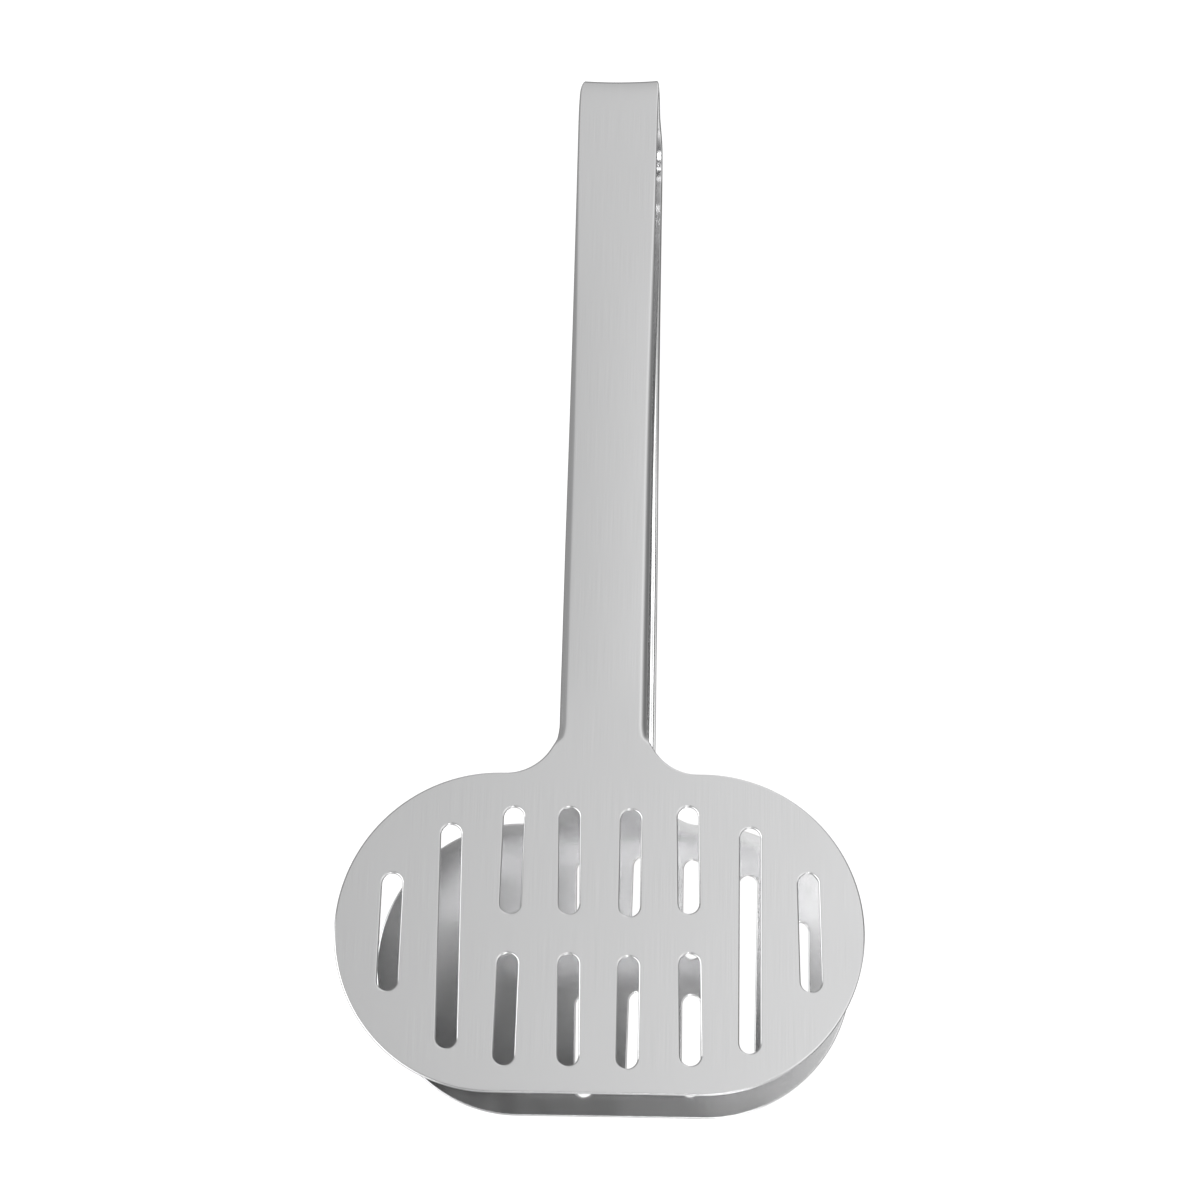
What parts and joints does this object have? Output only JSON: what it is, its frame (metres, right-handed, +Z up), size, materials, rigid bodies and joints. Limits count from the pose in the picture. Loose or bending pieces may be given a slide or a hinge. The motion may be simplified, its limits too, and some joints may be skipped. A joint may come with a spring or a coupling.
{
  "type": "serving tongs",
  "caption": "One-piece spring serving tongs in satin stainless sheet, with two wide slotted stadium-shaped heads.",
  "frame": {"origin": "middle of the footprint, on the surface that the rear leaf lies on", "axes": "+Y from the heads to the bow, +X across the heads, +Z up from the rear leaf to the front leaf"},
  "size_m": [0.113, 0.25, 0.0709],
  "materials": {
    "steel": "satin"
  },
  "bodies": {
    "rear_arm": {"rear_head": "steel", "rear_handle": "steel", "spring_bow": "steel"},
    "front_arm": {"front_handle": "steel", "front_head": "steel"}
  },
  "joints": [
    {"name": "squeeze", "type": "hinge", "parent": "rear_arm", "child": "front_arm", "pos_m": [0, 0.1181, 0.01862], "axis": [1, 0, 0], "range_deg": [-4, 16], "stiffness_Nm_per_rad": 5.25, "springref_deg": -1.2, "deforming": ["spring_bow"]}
  ]
}
